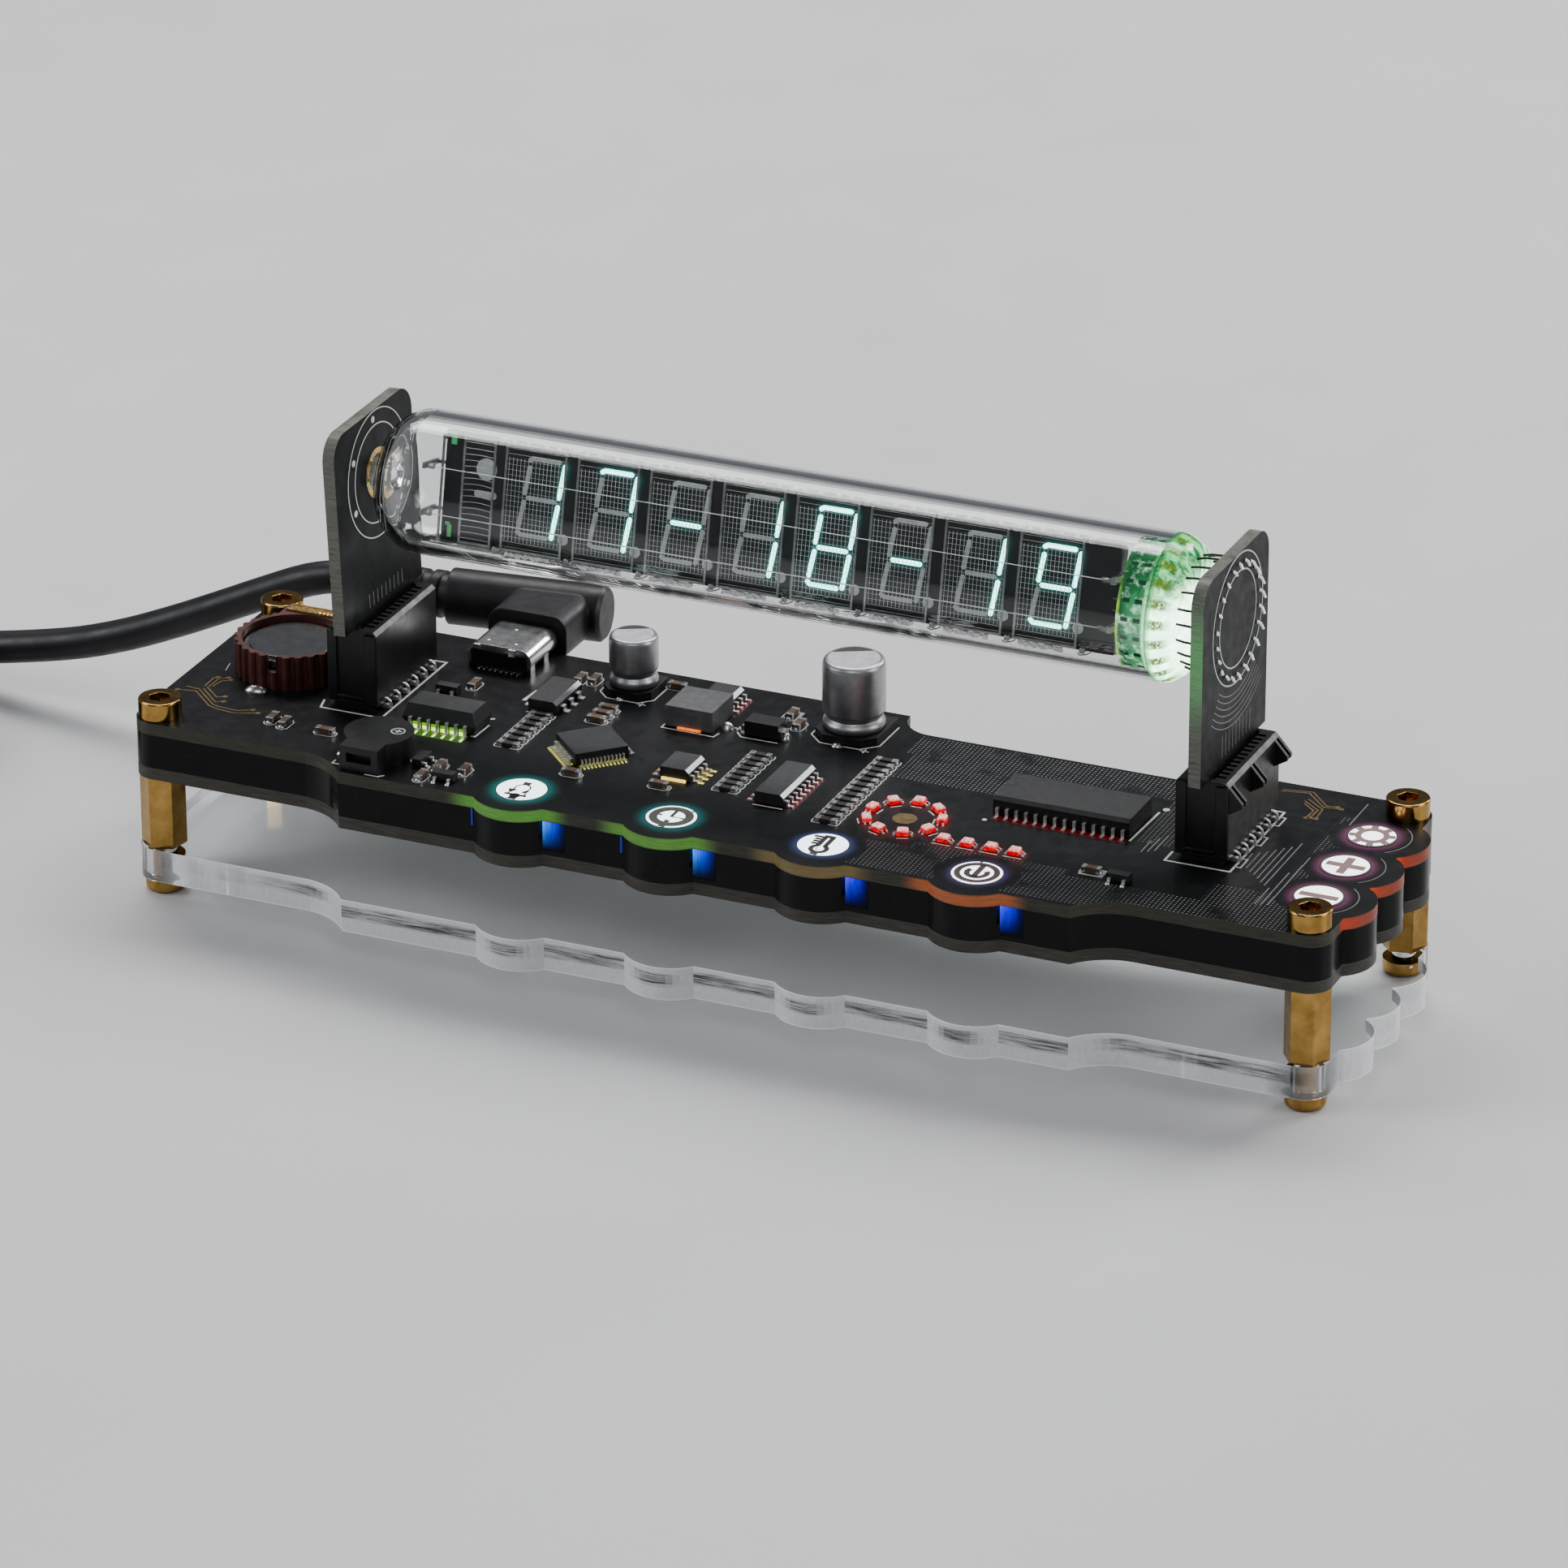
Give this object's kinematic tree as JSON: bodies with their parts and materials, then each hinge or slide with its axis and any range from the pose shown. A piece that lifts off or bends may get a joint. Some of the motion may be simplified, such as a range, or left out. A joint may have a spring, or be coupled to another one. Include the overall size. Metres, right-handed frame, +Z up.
{
  "type": "vacuum fluorescent desk clock",
  "caption": "Desk clock with a glass fluorescent display tube held between upright end cards over stacked black circuit boards on a clear base, with its power lead.",
  "frame": {"origin": "on the table, under the middle of the clock's own footprint (the lead not counted)", "axes": "+X along the boards to the right as seen from the front, +Y to the back, +Z up"},
  "size_m": [0.2852, 0.0672, 0.0619],
  "materials": {
    "brass": "polished",
    "clear_acrylic": "clear, polished edges",
    "black_board": "glossy black solder mask",
    "black_acrylic": "gloss",
    "blue_lamp": "lit",
    "pad_white": "lit from below",
    "socket_plastic": "matte",
    "tin": "tinned",
    "steel": "bright",
    "black_plastic": "satin",
    "brown_plastic": "satin",
    "gold": "gold plated",
    "can_aluminium": "satin",
    "ferrite": "satin",
    "chip_black": "matte",
    "resistor_black": "satin",
    "ceramic_brown": "satin",
    "red_lamp": "lit",
    "tube_glass": "clear",
    "base_glass": "frosted, lit green",
    "anode_dark": "matte",
    "phosphor_lit": "glowing",
    "phosphor_dark": "matte",
    "support_grey": "dull",
    "green_lamp": "lit",
    "cable_black": "satin",
    "white_plastic": "gloss"
  },
  "bodies": {
    "base": {"foot_screws": "brass", "base_plate": "clear_acrylic", "standoffs": "brass", "lower_board": "black_board", "spacer_frame": "black_acrylic", "window_lamps": "blue_lamp", "main_board": "black_board", "top_screws": "brass", "touch_pads": "pad_white", "left_socket": "socket_plastic", "right_socket": "socket_plastic", "socket_contacts": "tin", "usb_receptacle": "steel", "usb_tongue": "black_plastic", "coin_holder": "brown_plastic", "holder_clip": "gold", "buzzer": "black_plastic", "capacitor_cans": "can_aluminium", "capacitor_feet": "black_plastic", "inductor": "ferrite", "diode": "chip_black", "processor": "chip_black", "driver_chip": "chip_black", "small_chips": "chip_black", "chip_leads": "tin", "chip_resistors": "resistor_black", "chip_capacitors": "ceramic_brown", "chip_ends": "tin", "red_lamps": "red_lamp"},
    "display": {"left_card": "black_board", "right_card": "black_board", "tube_glass": "tube_glass", "tube_base": "base_glass", "tube_pins": "tin", "anode_plate": "anode_dark", "lit_segments": "phosphor_lit", "dark_segments": "phosphor_dark", "grid_frames": "steel", "filament_wires": "steel", "filament_supports": "steel", "end_wire": "support_grey", "base_lamp": "green_lamp"},
    "usb_lead": {"usb_plug_tip": "steel", "usb_plug_body": "cable_black", "strain_relief": "cable_black", "cable": "cable_black", "cable_coil": "cable_black", "cable_tie": "black_plastic", "cable_tail": "cable_black", "usb_a_body": "cable_black", "usb_a_shell": "steel", "usb_a_tongue": "white_plastic"},
    "coin_cell": {"coin_cell": "steel"}
  },
  "joints": [
    {"name": "display_lift", "type": "slide", "parent": "base", "child": "display", "axis": [0, 0, 1], "range_m": [0, 0.03]},
    {"name": "lead_pull", "type": "slide", "parent": "base", "child": "usb_lead", "axis": [0, 1, 0], "range_m": [0, 0.012]},
    {"name": "cell_lift", "type": "slide", "parent": "base", "child": "coin_cell", "axis": [0, 0, 1], "range_m": [0, 0.012]}
  ]
}
